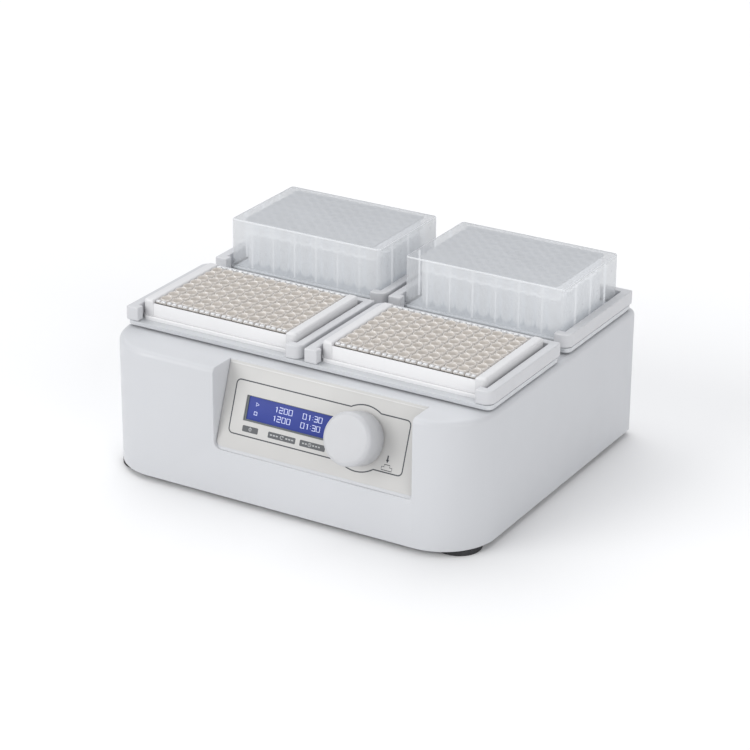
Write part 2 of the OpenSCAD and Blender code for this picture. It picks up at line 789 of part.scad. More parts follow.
housing();
base_plate();
feet();
foot_screws();
base_screws();
panel_overlay();
display_window();
display_module();
control_board();
board_spacers();
encoder_body();
encoder_nut();
encoder_plunger();
encoder_shaft();
knob();
chassis_deck();
deck_pillars();
deck_screws();
main_bearings();
idler_bearings();
crankshaft();
crank_pulley();
counterweight();
drive_belt();
motor_body();
motor_screws();
motor_shaft();
motor_pulley();
idler_crank(0);  // idler_crank_fl
idler_crank(1);  // idler_crank_bl
idler_crank(2);  // idler_crank_fr
idler_crank(3);  // idler_crank_br
platform_carrier();
carrier_bearings();
tray(-1);  // front_tray
tray(1);  // back_tray
tray_screws();
placed_nest(0);  // nest_front_left
placed_nest(1);  // nest_front_right
placed_nest(2);  // nest_back_left
placed_nest(3);  // nest_back_right
strip_frame(0);  // strip_frame_left
strips(0);  // strips_left
strip_frame(1);  // strip_frame_right
strips(1);  // strips_right
deep_plate(2);  // deep_plate_left
deep_plate(3);  // deep_plate_right
power_board();
power_parts();
ribbon_cable();
motor_lead();
mains_leads();
mains_inlet();
inlet_pins();
switch_frame();
rocker();
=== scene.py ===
"""Orbital shaker with four microplates: the looks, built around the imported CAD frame.

Everything is in metres in the frame's own axes. Sizes come from the CAD nodes' boxes; the panel's
graphics are in the panel's own axes, in millimetres: x to the right, v up the panel, out of it h.
"""

import json
import math

import bmesh
import bpy
from mathutils import Matrix, Vector


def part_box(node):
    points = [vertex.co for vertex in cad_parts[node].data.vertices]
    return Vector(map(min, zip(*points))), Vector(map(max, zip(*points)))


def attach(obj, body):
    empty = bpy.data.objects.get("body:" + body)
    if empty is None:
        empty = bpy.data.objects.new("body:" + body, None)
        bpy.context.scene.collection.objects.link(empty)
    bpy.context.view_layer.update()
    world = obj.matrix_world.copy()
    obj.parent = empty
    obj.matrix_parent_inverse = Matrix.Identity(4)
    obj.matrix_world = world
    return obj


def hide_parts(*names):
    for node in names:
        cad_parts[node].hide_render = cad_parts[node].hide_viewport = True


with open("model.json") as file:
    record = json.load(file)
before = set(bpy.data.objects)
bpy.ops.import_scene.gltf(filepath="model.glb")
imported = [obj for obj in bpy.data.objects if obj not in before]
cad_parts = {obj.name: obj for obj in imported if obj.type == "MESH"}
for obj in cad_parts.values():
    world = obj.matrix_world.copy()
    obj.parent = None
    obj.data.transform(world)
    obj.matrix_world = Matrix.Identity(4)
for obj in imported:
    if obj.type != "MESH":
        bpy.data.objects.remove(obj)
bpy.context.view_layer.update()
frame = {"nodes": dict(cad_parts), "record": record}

MM = 0.001
NODE_BODY = {n: b for b, nodes in frame["record"]["behaviour"]["bodies"].items() for n in nodes}
NODE_SLOT = {s["node"]: s["material_slot"] for s in frame["record"]["subparts"]}

# ---------- Camera ----------

CAMERA_PLACE = Vector((0.8875, -1.4969, 0.8162))
CAMERA_YAW = 0.5326
CAMERA_PITCH = 0.4103
CAMERA_ROLL = 0.0063
CAMERA_LENS = 130.1  # focal length and sensor width in millimetres
CAMERA_SENSOR = 36


def add_camera():
    """Camera at the fitted place; yaw turns it left, pitch down, and roll lifts its right side."""
    yaw, pitch, roll = CAMERA_YAW, CAMERA_PITCH, CAMERA_ROLL
    forward = Vector((-math.sin(yaw) * math.cos(pitch), math.cos(yaw) * math.cos(pitch),
                      -math.sin(pitch)))
    level = Vector((math.cos(yaw), math.sin(yaw), 0))
    upright = level.cross(forward)
    right = level * math.cos(roll) + upright * math.sin(roll)
    up = upright * math.cos(roll) - level * math.sin(roll)
    data = bpy.data.cameras.new("camera")
    data.lens = CAMERA_LENS
    data.sensor_width = CAMERA_SENSOR
    camera = bpy.data.objects.new("camera", data)
    turn = Matrix((right, up, -forward)).transposed().to_4x4()
    camera.matrix_world = Matrix.Translation(CAMERA_PLACE) @ turn
    bpy.context.scene.collection.objects.link(camera)
    bpy.context.scene.camera = camera


# ---------- Materials ----------

materials = {}
NOISE_LOW, NOISE_HIGH = 0.3, 0.7  # the range that a noise texture's values mostly stay in
WEAR_WIDTH = 0.0012  # how far from an edge its wear reaches


class Nodes:
    """Shorthand for building one material's node tree."""

    def __init__(self, name):
        self.material = bpy.data.materials.new(name)
        self.material.use_nodes = True
        self.tree = self.material.node_tree
        self.shader = self.tree.nodes["Principled BSDF"]
        self.place = self.tree.nodes.new("ShaderNodeTexCoord").outputs["Object"]

    def link(self, a, b):
        self.tree.links.new(a, b)

    def noise(self, scale, detail, stretch=None):
        node = self.tree.nodes.new("ShaderNodeTexNoise")
        node.inputs["Scale"].default_value = scale
        node.inputs["Detail"].default_value = detail
        place = self.place
        if stretch:
            mapping = self.tree.nodes.new("ShaderNodeMapping")
            mapping.inputs["Scale"].default_value = stretch
            self.link(place, mapping.inputs["Vector"])
            place = mapping.outputs["Vector"]
        self.link(place, node.inputs["Vector"])
        return node.outputs["Fac"]

    def ramp(self, value, low, high):
        """Colour from low to high over the middle range of a noise value."""
        node = self.tree.nodes.new("ShaderNodeValToRGB")
        first, last = node.color_ramp.elements
        first.position, first.color = NOISE_LOW, (*low, 1)
        last.position, last.color = NOISE_HIGH, (*high, 1)
        self.link(value, node.inputs["Fac"])
        return node.outputs["Color"]

    def spread(self, value, low, high):
        """Number from low to high over the middle range of a noise value."""
        node = self.tree.nodes.new("ShaderNodeMapRange")
        node.inputs["From Min"].default_value = NOISE_LOW
        node.inputs["From Max"].default_value = NOISE_HIGH
        node.inputs["To Min"].default_value = low
        node.inputs["To Max"].default_value = high
        self.link(value, node.inputs["Value"])
        return node.outputs["Result"]

    def bump(self, height, distance):
        node = self.tree.nodes.new("ShaderNodeBump")
        node.inputs["Distance"].default_value = distance
        node.inputs["Strength"].default_value = 1.0
        self.link(height, node.inputs["Height"])
        self.link(node.outputs["Normal"], self.shader.inputs["Normal"])

    def worn_edges(self, colour, worn):
        """Lightens colour where the surface turns sharply, broken up by noise."""
        bevel = self.tree.nodes.new("ShaderNodeBevel")
        bevel.inputs["Radius"].default_value = WEAR_WIDTH
        geometry = self.tree.nodes.new("ShaderNodeNewGeometry")
        dot = self.tree.nodes.new("ShaderNodeVectorMath")
        dot.operation = "DOT_PRODUCT"
        self.link(bevel.outputs["Normal"], dot.inputs[0])
        self.link(geometry.outputs["Normal"], dot.inputs[1])
        edge = self.tree.nodes.new("ShaderNodeMapRange")
        edge.inputs["From Min"].default_value = 0.98
        edge.inputs["From Max"].default_value = 0.8
        self.link(dot.outputs["Value"], edge.inputs["Value"])
        broken = self.tree.nodes.new("ShaderNodeMath")
        broken.operation = "MULTIPLY"
        self.link(edge.outputs["Result"], broken.inputs[0])
        self.link(self.spread(self.noise(140, 4), 0.1, 0.7), broken.inputs[1])
        mix = self.tree.nodes.new("ShaderNodeMix")
        mix.data_type = "RGBA"
        self.link(broken.outputs["Value"], mix.inputs["Factor"])
        self.link(colour, mix.inputs["A"])
        mix.inputs["B"].default_value = (*worn, 1)
        return mix.outputs["Result"]


def shade(colour, by):
    return tuple(min(1.0, c * by) for c in colour)


def surface(name, colour, rough, vary=0.03, patch=9.0, grain=1600.0, depth=0.00002, metallic=0.0,
            stretch=None, wear=None, coat=0.0, alpha=1.0, glow=0.0, specular=0.5):
    """A material with patchy colour, uneven gloss and a fine grain; wear is the colour of rubbed edges.

    vary and patch are the strength and frequency of the patches, depth and grain those of the bump.
    """
    made = Nodes(name)
    patchy = made.noise(patch, 3, stretch)
    tint = made.ramp(patchy, shade(colour, 1 - vary), shade(colour, 1 + vary))
    if wear:
        tint = made.worn_edges(tint, wear)
    made.link(tint, made.shader.inputs["Base Color"])
    made.link(made.spread(made.noise(patch * 7, 4, stretch), rough * 0.88, min(1, rough * 1.12)),
              made.shader.inputs["Roughness"])
    made.bump(made.noise(grain, 2, stretch), depth)
    made.shader.inputs["Metallic"].default_value = metallic
    made.shader.inputs["Coat Weight"].default_value = coat
    made.shader.inputs["Specular IOR Level"].default_value = specular
    made.shader.inputs["Alpha"].default_value = alpha
    if glow:
        made.link(tint, made.shader.inputs["Emission Color"])
        made.shader.inputs["Emission Strength"].default_value = glow
    materials[name] = made.material


def make_materials():
    """A material for each CAD slot, and for each detail that has a look of its own."""
    surface("housing_plastic", (0.555, 0.565, 0.588), 0.42, 0.015, 7, 2600, 0.00002, wear=(0.66, 0.67, 0.69))
    surface("sheet_steel", (0.5, 0.51, 0.53), 0.4, 0.06, 30, 900, 0.00002, metallic=1)
    surface("foot_rubber", (0.025, 0.025, 0.028), 0.75, 0.2, 60, 1400, 0.00005)
    surface("screw_steel", (0.5, 0.5, 0.52), 0.3, 0.08, 90, 1500, 0.00001, metallic=1)
    surface("panel_film", (0.535, 0.53, 0.52), 0.5, 0.015, 14, 3500, 0.000012)
    # lighter copy of the film for the lip on top: a painted highlight
    surface("panel_lip_highlight", (0.62, 0.615, 0.61), 0.4, 0.02, 14, 3500, 0.00001)
    surface("panel_ink", (0.045, 0.05, 0.06), 0.5, 0.1, 120, 2000, 0.00001)
    surface("plaque_ink", (0.075, 0.08, 0.088), 0.45, 0.08, 120, 2000, 0.00001)
    surface("pictogram_ink", (0.42, 0.43, 0.44), 0.5, 0.03, 200, 2000, 0.00001)
    surface("display_window", (0.042, 0.06, 0.26), 0.36, 0.05, 40, 1200, 0.000004, glow=0.12,
            specular=0.12)
    surface("display_digits", (0.5, 0.54, 0.74), 0.4, 0.04, 300, 2500, 0.000004, glow=0.35)
    surface("display_edge", (0.09, 0.105, 0.11), 0.4, 0.1, 150, 2000, 0.00001)
    surface("display_module", (0.12, 0.12, 0.13), 0.5, 0.08, 90, 1800, 0.00001)
    surface("circuit_board", (0.03, 0.13, 0.06), 0.35, 0.25, 260, 1200, 0.00002, coat=0.4)
    surface("nickel", (0.62, 0.6, 0.56), 0.25, 0.05, 90, 1600, 0.000006, metallic=1)
    surface("knob_plastic", (0.5, 0.505, 0.522), 0.36, 0.012, 30, 2600, 0.000012)
    surface("cast_aluminium", (0.6, 0.61, 0.63), 0.45, 0.07, 40, 700, 0.00006, metallic=1)
    surface("bearing_steel", (0.5, 0.5, 0.52), 0.18, 0.05, 70, 1600, 0.000005, metallic=1,
            stretch=(1, 1, 12))
    surface("belt_rubber", (0.02, 0.02, 0.022), 0.65, 0.2, 120, 1500, 0.00004)
    surface("motor_black", (0.04, 0.04, 0.045), 0.4, 0.12, 50, 1200, 0.00003, coat=0.2)
    surface("tray_aluminium", (0.59, 0.605, 0.625), 0.36, 0.05, 14, 420, 0.00001, metallic=0.35,
            stretch=(1, 14, 14))
    surface("nest_plastic", (0.575, 0.58, 0.6), 0.42, 0.02, 16, 2400, 0.00002, wear=(0.66, 0.67, 0.68))
    surface("plate_white", (0.66, 0.66, 0.672), 0.34, 0.012, 30, 2200, 0.000012)
    # lighter copy of plate_white for the frames' front and back walls: painted light
    surface("plate_white_lit_front", (0.76, 0.76, 0.77), 0.34, 0.01, 30, 2200, 0.000012)
    # The strips glow faintly, their rims take a lighter copy as painted highlights, and the wells' insides
    # glow more: all painted light.
    surface("clear_polystyrene", (0.5, 0.472, 0.445), 0.22, 0.05, 90, 1500, 0.00001, coat=0.5, glow=0.05)
    surface("strip_rim_highlight", (0.64, 0.61, 0.58), 0.16, 0.05, 120, 1500, 0.00001, coat=0.8, glow=0.05)
    surface("strip_inside_glow", (0.56, 0.53, 0.5), 0.2, 0.06, 160, 1500, 0.00001, coat=0.5, glow=0.2)
    # near-white glossy copy of the clear plastic for the strips' ears: painted glints
    surface("strip_tab_glint", (0.78, 0.79, 0.81), 0.06, 0.05, 260, 900, 0.00002, coat=1.0, alpha=0.75)
    # The frosted plastic's faint glow is painted light standing in for light scattered inside it.
    surface("frosted_polypropylene", (0.62, 0.632, 0.652), 0.3, 0.02, 24, 1500, 0.000004, alpha=0.5,
            glow=0.03)
    # darker copy of the frosted plastic for the deep plates' tops: painted shade
    surface("frosted_top_shaded", (0.5, 0.513, 0.533), 0.34, 0.02, 24, 1500, 0.000004, alpha=0.42)
    # lighter, less clear copy for the tops' rounded edge: a painted highlight
    surface("frosted_edge_highlight", (0.66, 0.675, 0.695), 0.3, 0.03, 24, 1500, 0.000004, alpha=0.85)
    # The deep wells, their deck and their insides glow: painted light standing in for light scattered
    # through the frosted plastic.
    surface("well_polypropylene_glow", (0.72, 0.735, 0.755), 0.4, 0.02, 50, 1500, 0.00001, glow=0.3)
    surface("well_deck_glow", (0.57, 0.583, 0.603), 0.4, 0.02, 50, 1500, 0.00001, glow=0.16)
    surface("well_inside_glow", (0.56, 0.573, 0.593), 0.4, 0.02, 50, 1500, 0.00001, glow=0.3)
    # glows brightest: painted highlights on the ribs and the wells' collars
    surface("rib_and_collar_glow", (0.75, 0.765, 0.785), 0.35, 0.02, 60, 1500, 0.00001, glow=0.42)
    # glowing sheet inside the deep plates: painted light standing in for light scattered inside them
    surface("inner_floor_glow", (0.55, 0.575, 0.605), 0.45, 0.04, 40, 1500, 0.00001, glow=0.22)
    surface("cable_grey", (0.32, 0.32, 0.34), 0.5, 0.08, 90, 1500, 0.00003)
    surface("black_plastic", (0.02, 0.02, 0.022), 0.35, 0.15, 60, 2200, 0.00002)
    surface("rocker_red", (0.3, 0.02, 0.02), 0.3, 0.1, 70, 2200, 0.00001, coat=0.2)


# ---------- Meshes ----------

def finished(name, bm, material, smooth=32.0, extra=()):
    """Turns bm into an object, smooth apart from edges sharper than smooth degrees."""
    bmesh.ops.remove_doubles(bm, verts=bm.verts, dist=1e-6)
    bmesh.ops.recalc_face_normals(bm, faces=bm.faces)
    mesh = bpy.data.meshes.new(name)
    bm.to_mesh(mesh)
    bm.free()
    for slot_name in (material, *extra):
        mesh.materials.append(materials[slot_name])
    mesh.shade_smooth()
    mesh.set_sharp_from_angle(angle=math.radians(smooth))
    obj = bpy.data.objects.new(name, mesh)
    bpy.context.scene.collection.objects.link(obj)
    return obj


def stand_for(obj, node):
    """obj takes the place and the body of a CAD node, and the node is hidden."""
    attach(obj, NODE_BODY[node])
    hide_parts(node)


def belong_to(obj, node):
    """obj is a detail of a CAD node: it rides on that node's body."""
    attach(obj, NODE_BODY[node])


def loop_at(bm, points, z):
    return [bm.verts.new((x, y, z)) for x, y in points]


def bridge(bm, lower, upper, material=0):
    n = len(lower)
    for i in range(n):
        j = (i + 1) % n
        bm.faces.new((lower[i], lower[j], upper[j], upper[i])).material_index = material


def stack(bm, levels):
    """Closed solid through outlines with equal numbers of points, each (points, z), bottom to top."""
    loops = [loop_at(bm, points, z) for points, z in levels]
    for lower, upper in zip(loops, loops[1:]):
        bridge(bm, lower, upper)
    bm.faces.new(loops[0][::-1])
    bm.faces.new(loops[-1])


def rounded_outline(low, high, radii, steps=8):
    """Counter-clockwise outline of a rectangle. radii are those of the corners from low x, low y on."""
    corners = ((low[0], low[1], 180), (high[0], low[1], 270), (high[0], high[1], 0), (low[0], high[1], 90))
    points = []
    for (x, y, start), r in zip(corners, radii):
        cx = x + r if x == low[0] else x - r
        cy = y + r if y == low[1] else y - r
        for i in range(steps + 1):
            a = math.radians(start + 90 * i / steps)
            points.append((cx + r * math.cos(a), cy + r * math.sin(a)))
    return points


def rounded_slab(bm, low, high, radii, z0, z1, top=0.0, bottom=0.0, steps=8, turn=4):
    """Upright slab with round corners, whose upper and lower edges are rounded too."""
    levels = []

    def ring(inset, z):
        rr = [max(r - inset, 0.00005) for r in radii]
        inner_low = (low[0] + inset, low[1] + inset)
        inner_high = (high[0] - inset, high[1] - inset)
        levels.append((rounded_outline(inner_low, inner_high, rr, steps), z))

    if bottom:
        for i in range(turn + 1):
            a = math.radians(90 * i / turn)
            ring(bottom * (1 - math.sin(a)), z0 + bottom * (1 - math.cos(a)))
    else:
        ring(0, z0)
    if top:
        for i in range(turn + 1):
            a = math.radians(90 * i / turn)
            ring(top * (1 - math.cos(a)), z1 - top * (1 - math.sin(a)))
    else:
        ring(0, z1)
    stack(bm, levels)


def box_mesh(bm, low, high):
    rounded_slab(bm, low, high, (0.00005,) * 4, low[2], high[2], steps=1)


def lathe(bm, profile, centre, steps, closed=True):
    """Turns profile, a list of (radius, z), about an upright line through centre."""
    rings = []
    for r, z in profile:
        if r < 1e-7:
            rings.append([bm.verts.new((centre[0], centre[1], z))])
        else:
            rings.append([bm.verts.new((centre[0] + r * math.cos(2 * math.pi * i / steps),
                                        centre[1] + r * math.sin(2 * math.pi * i / steps), z))
                          for i in range(steps)])
    pairs = list(zip(rings, rings[1:]))
    if closed:
        pairs.append((rings[-1], rings[0]))
    for a, b in pairs:
        for i in range(steps):
            j = (i + 1) % steps
            corners = [a[i % len(a)], a[j % len(a)], b[j % len(b)], b[i % len(b)]]
            unique = list(dict.fromkeys(corners))
            if len(unique) > 2:
                bm.faces.new(unique)


def arc(cx, cy, r, start, end, steps=8):
    """Points of an arc, angles in degrees."""
    turn = [math.radians(start + (end - start) * i / steps) for i in range(steps + 1)]
    return [(cx + r * math.cos(a), cy + r * math.sin(a)) for a in turn]


def bevel_sharp(bm, width, segments=2, angle=35.0, keep=lambda p: True):
    """Rounds the edges that are sharper than angle and whose middle keep() accepts."""
    limit = math.radians(angle)
    edges = [e for e in bm.edges if len(e.link_faces) == 2 and e.calc_face_angle(0) > limit
             and keep((e.verts[0].co + e.verts[1].co) / 2)]
    bmesh.ops.bevel(bm, geom=edges, offset=width, segments=segments, profile=0.5, affect="EDGES",
                    clamp_overlap=True)


def cad_mesh(node):
    """Clean copy of a CAD node: joined corners, flat faces in one piece."""
    bm = bmesh.new()
    bm.from_mesh(frame["nodes"][node].data)
    bmesh.ops.remove_doubles(bm, verts=bm.verts, dist=2e-6)
    bmesh.ops.dissolve_limit(bm, angle_limit=math.radians(0.4), verts=bm.verts, edges=bm.edges)
    return bm


def softened(node, width, segments=2, **options):
    """Copy of a CAD node with its sharp edges rounded, in place of the node."""
    bm = cad_mesh(node)
    bevel_sharp(bm, width, segments, **options)
    piece = finished(node + "_finish", bm, NODE_SLOT[node])
    weigh_normals(piece)
    stand_for(piece, node)


def weigh_normals(obj):
    """Lets large faces rule the shading of the round edges beside them, so that flats look flat."""
    step = obj.modifiers.new("normals", "WEIGHTED_NORMAL")
    step.keep_sharp = True
    step.weight = 100
    bpy.context.view_layer.update()
    graph = bpy.context.evaluated_depsgraph_get()
    shaped = bpy.data.meshes.new_from_object(obj.evaluated_get(graph), preserve_all_data_layers=True,
                                             depsgraph=graph)
    obj.modifiers.clear()
    plain, obj.data = obj.data, shaped
    bpy.data.meshes.remove(plain)


def cut(bm, tool, operation="DIFFERENCE"):
    """Boolean of two meshes, both used up. Returns a new one."""
    objects = []
    for name, part in (("cut_body", bm), ("cut_tool", tool)):
        bmesh.ops.recalc_face_normals(part, faces=part.faces)
        mesh = bpy.data.meshes.new(name)
        part.to_mesh(mesh)
        part.free()
        obj = bpy.data.objects.new(name, mesh)
        bpy.context.scene.collection.objects.link(obj)
        objects.append(obj)
    body, blade = objects
    step = body.modifiers.new("cut", "BOOLEAN")
    step.operation = operation
    step.object = blade
    step.solver = "EXACT"
    bpy.context.view_layer.update()
    result = bmesh.new()
    result.from_mesh(body.evaluated_get(bpy.context.evaluated_depsgraph_get()).data)
    for obj in objects:
        bpy.data.meshes.remove(obj.data)
    return result


# ---------- Housing ----------

BODY_LOW, BODY_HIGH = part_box("housing")
FRONT_R = 0.040
REAR_R = 0.007
WALL = 0.003
EDGE_R = 0.0042
POCKET_LEFT = -0.050
POCKET_RIGHT = 0.104
POCKET_CORNER = 0.0055
PANEL_SETBACK = 0.0015
ORBIT_R = 0.0015  # how far behind the orbit's centre the platform rests
PANEL_Z = 0.0405
PANEL_LEAN = math.radians(20)
FILM = 0.0008  # thickness of the panel's film
POST_R = 0.005
POST_INSET = 0.003  # from the outermost screw head's edge to the posts' middles
POST_Y = (-0.066, 0, 0.108)  # places of the posts behind the housing's middle
TOP_HOLE = (0.212, 0.150, 0.012)  # width, depth and corner radius of the hole under the platform
VENT_COUNT, VENT_PITCH, VENT_HALF = 10, 0.009, 0.0015
VENT_LEFT, VENT_LOW, VENT_HIGH = -0.100, 0.045, 0.079
BUSH_R = 0.005  # hole for the knob's bush
OVER = 0.01  # how far cutting tools reach past what they cut
NEAR = 2e-5  # what counts as the same place


def pocket_tool(grow=0.0):
    """Solid of the panel's pocket: seen from the front a rectangle with round lower corners."""
    corner = POCKET_CORNER
    depth = FILM + grow
    y_low = BODY_LOW.y + PANEL_SETBACK + depth / math.cos(PANEL_LEAN)
    z_low = PANEL_Z - 0.002 - grow
    x0, x1 = POCKET_LEFT - grow, POCKET_RIGHT + grow
    top = BODY_HIGH.z + OVER
    outline = arc(x0 + corner, z_low + corner, corner, 180, 270, 6)
    outline += arc(x1 - corner / 2, z_low + corner / 2, corner / 2, 270, 360, 6)
    outline += [(x1, top), (x0, top)]
    bm = bmesh.new()
    slope = math.tan(PANEL_LEAN)
    front = [bm.verts.new((x, BODY_LOW.y - OVER, z)) for x, z in outline]
    back = [bm.verts.new((x, y_low + (z - PANEL_Z) * slope, z)) for x, z in outline]
    bridge(bm, front, back)
    bm.faces.new(front)
    bm.faces.new(back[::-1])
    return bm


def add_housing():
    x, low, high = BODY_HIGH.x, BODY_LOW, BODY_HIGH
    radii = (FRONT_R, FRONT_R, REAR_R, REAR_R)
    shell = bmesh.new()
    rounded_slab(shell, (-x, low.y), (x, high.y), radii, low.z, high.z, top=EDGE_R, bottom=0.0006,
                 steps=20, turn=7)
    cavity = bmesh.new()
    rounded_slab(cavity, (-x + WALL, low.y + WALL), (x - WALL, high.y - WALL),
                 [r - WALL for r in radii], low.z - OVER, high.z - WALL, steps=20)
    cavity = cut(cavity, pocket_tool(WALL))
    posts = bmesh.new()
    for centre in screw_posts():
        foot = low.z + WALL
        lathe(posts, [(0, foot), (POST_R, foot), (POST_R, high.z), (0, high.z)], centre, 24, closed=False)
    cavity = cut(cavity, posts)
    shell = cut(shell, cavity)
    shell = cut(shell, pocket_tool())
    shell = cut(shell, openings_tool())
    bmesh.ops.dissolve_limit(shell, angle_limit=math.radians(0.2), verts=shell.verts, edges=shell.edges)

    def on_show(p):
        """Only the pocket's outer edge is rounded."""
        near_front = p.y < low.y + 0.05
        on_face = abs(p.y - low.y) < NEAR or abs(p.z - high.z) < NEAR
        on_side = abs(p.x - POCKET_LEFT) < NEAR or abs(p.x - POCKET_RIGHT) < NEAR
        return near_front and (on_face or (on_side and p.z > high.z - EDGE_R * 1.1))

    bevel_sharp(shell, 0.0007, 3, 40, on_show)
    stand_for(finished("housing_shell", shell, "housing_plastic", smooth=28), "housing")


def screw_posts():
    """Middles of the base screws' posts, from the CAD screws: three on each side."""
    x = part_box("base_screws")[1].x - POST_INSET
    mid = (BODY_LOW.y + BODY_HIGH.y) / 2
    return [(side * x, mid + y) for side in (-1, 1) for y in POST_Y]


def openings_tool():
    """Everything else that is cut out of the housing: top, display, knob, inlet, switch and vents."""
    bm = bmesh.new()
    carrier_low, carrier_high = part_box("platform_carrier")
    mid_y = (carrier_low.y + carrier_high.y) / 2 - ORBIT_R
    width, depth, corner = TOP_HOLE
    rounded_slab(bm, (-width / 2, mid_y - depth / 2), (width / 2, mid_y + depth / 2), (corner,) * 4,
                 BODY_HIGH.z - OVER, BODY_HIGH.z + OVER, steps=8)
    panel_cut = bmesh.new()
    w, h = LCD_W / 2 + 1.5, LCD_H / 2 + 1.5
    rounded_slab(panel_cut, ((LCD_X - w) * MM, (LCD_V - h) * MM), ((LCD_X + w) * MM, (LCD_V + h) * MM),
                 (0.0005,) * 4, -OVER, OVER, steps=2)
    lathe(panel_cut, [(0, -OVER), (BUSH_R, -OVER), (BUSH_R, OVER), (0, OVER)],
          (KNOB_X * MM, KNOB_V * MM), 32, closed=False)
    panel_cut.transform(PANEL)
    merge(bm, panel_cut)
    back = BODY_HIGH.y
    for node, margin in (("mains_inlet", 0.0018), ("switch_frame", 0.0013)):
        low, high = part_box(node)
        box_mesh(bm, Vector((low.x + margin, back - OVER, low.z + 0.002)),
                 Vector((high.x - margin, back + OVER, high.z - 0.002)))
    for i in range(VENT_COUNT):
        rounded_slot(bm, VENT_LEFT + VENT_PITCH * i, VENT_LOW, VENT_HIGH, back, VENT_HALF)
    return bm


def rounded_slot(bm, x, z0, z1, y, half):
    """Upright slot with round ends through a wall that faces Y; half is half its width."""
    outline = arc(x, z1 - half, half, 0, 180, 6) + arc(x, z0 + half, half, 180, 360, 6)
    near = [bm.verts.new((px, y - OVER, pz)) for px, pz in outline]
    far = [bm.verts.new((px, y + OVER, pz)) for px, pz in outline]
    bridge(bm, near, far)
    bm.faces.new(near)
    bm.faces.new(far[::-1])


def merge(bm, other):
    """Adds other's mesh to bm."""
    mesh = bpy.data.meshes.new("merged")
    other.to_mesh(mesh)
    other.free()
    bm.from_mesh(mesh)
    bpy.data.meshes.remove(mesh)


# ---------- Control panel ----------

PANEL = (Matrix.Translation((0, BODY_LOW.y + PANEL_SETBACK, PANEL_Z))
         @ Matrix.Rotation(math.radians(90) - PANEL_LEAN, 4, "X"))
PANEL_LENGTH = (BODY_HIGH.z - PANEL_Z) / math.cos(PANEL_LEAN) / MM
LCD_X, LCD_V = 2.0, 30.0
LCD_W, LCD_H = 68.0, 17.6
KNOB_X, KNOB_V = 59.2, 29.0
INK = 0.03  # thickness of printed marks
GLASS = -1.3  # height of the display's glass from the panel's face


def on_panel(name, bm, material, **options):
    """Object from a mesh drawn in millimetres in the panel's own axes."""
    bm.transform(PANEL @ Matrix.Scale(MM, 4))
    return finished(name, bm, material, **options)


def line_strip(bm, points, width, h0=0.0, h1=INK, closed=False):
    """Thin raised band of even width along points."""
    n = len(points)
    sides = ([], [])
    for i, p in enumerate(points):
        before = Vector(points[(i - 1) % n] if closed or i else p)
        after = Vector(points[(i + 1) % n] if closed or i < n - 1 else p)
        along = (after - before).normalized()
        across = Vector((-along.y, along.x)) * width / 2
        sides[0].append(Vector(p) + across)
        sides[1].append(Vector(p) - across)
    rails = [[bm.verts.new((q.x, q.y, h)) for q in side] for side in sides for h in (h0, h1)]
    left_low, left_high, right_low, right_high = rails
    for i in range(n if closed else n - 1):
        j = (i + 1) % n
        for a, b in ((left_low, left_high), (left_high, right_high), (right_high, right_low),
                     (right_low, left_low)):
            bm.faces.new((a[i], a[j], b[j], b[i]))
    if not closed:
        for i in (0, n - 1):
            bm.faces.new((left_low[i], left_high[i], right_high[i], right_low[i]))


def add_overlay():
    """Panel film with openings for the display and the knob's bush, and a slim raised lip on top, lighter
    than the film as a painted highlight.
    """
    film = bmesh.new()
    rounded_slab(film, (POCKET_LEFT / MM + 0.5, 0.3), (POCKET_RIGHT / MM - 0.5, PANEL_LENGTH - 0.5),
                 (4.5, 2, 0.4, 0.4), -FILM / MM, 0, top=0.25, turn=2)
    hole = bmesh.new()
    rounded_slab(hole, (LCD_X - LCD_W / 2, LCD_V - LCD_H / 2), (LCD_X + LCD_W / 2, LCD_V + LCD_H / 2),
                 (0.4,) * 4, -5, 5, steps=3)
    bush = BUSH_R / MM
    lathe(hole, [(0, -5), (bush, -5), (bush, 5), (0, 5)], (KNOB_X, KNOB_V), 32, closed=False)
    film = cut(film, hole)
    stand_for(on_panel("panel_film", film, "panel_film"), "panel_overlay")
    lip = bmesh.new()
    lip_v = PANEL_LENGTH - 2.2
    line_strip(lip, [(POCKET_LEFT / MM + 1, lip_v), (POCKET_RIGHT / MM - 1, lip_v)], 0.7, 0, 0.2)
    belong_to(on_panel("panel_lip_highlight", lip, "panel_lip_highlight"), "panel_overlay")


def panel_frame_line():
    """Round-cornered outline that swells round the knob, counter-clockwise from the lower left."""
    x0, x1, v0, v1, r = -41.5, 93.5, 11.0, 48.0, 3.2
    swell = 22.2
    low_half = math.sqrt(swell ** 2 - (KNOB_V - v0) ** 2)
    high_half = math.sqrt(swell ** 2 - (v1 - KNOB_V) ** 2)
    low_a = math.degrees(math.atan2(v0 - KNOB_V, -low_half)) % 360
    low_b = math.degrees(math.atan2(v0 - KNOB_V, low_half)) % 360
    high_a = math.degrees(math.atan2(v1 - KNOB_V, high_half))
    high_b = math.degrees(math.atan2(v1 - KNOB_V, -high_half))
    return (arc(x0 + r, v0 + r, r, 180, 270) + arc(KNOB_X, KNOB_V, swell, low_a, low_b, 14)
            + arc(x1 - r, v0 + r, r, 270, 360) + arc(x1 - r, v1 - r, r, 0, 90)
            + arc(KNOB_X, KNOB_V, swell, high_a, high_b, 14) + arc(x0 + r, v1 - r, r, 90, 180))


def add_frame_line():
    """Thin printed line round the display and the knob."""
    line = bmesh.new()
    line_strip(line, panel_frame_line(), 0.85, closed=True)
    belong_to(on_panel("panel_line", line, "panel_ink"), "panel_overlay")


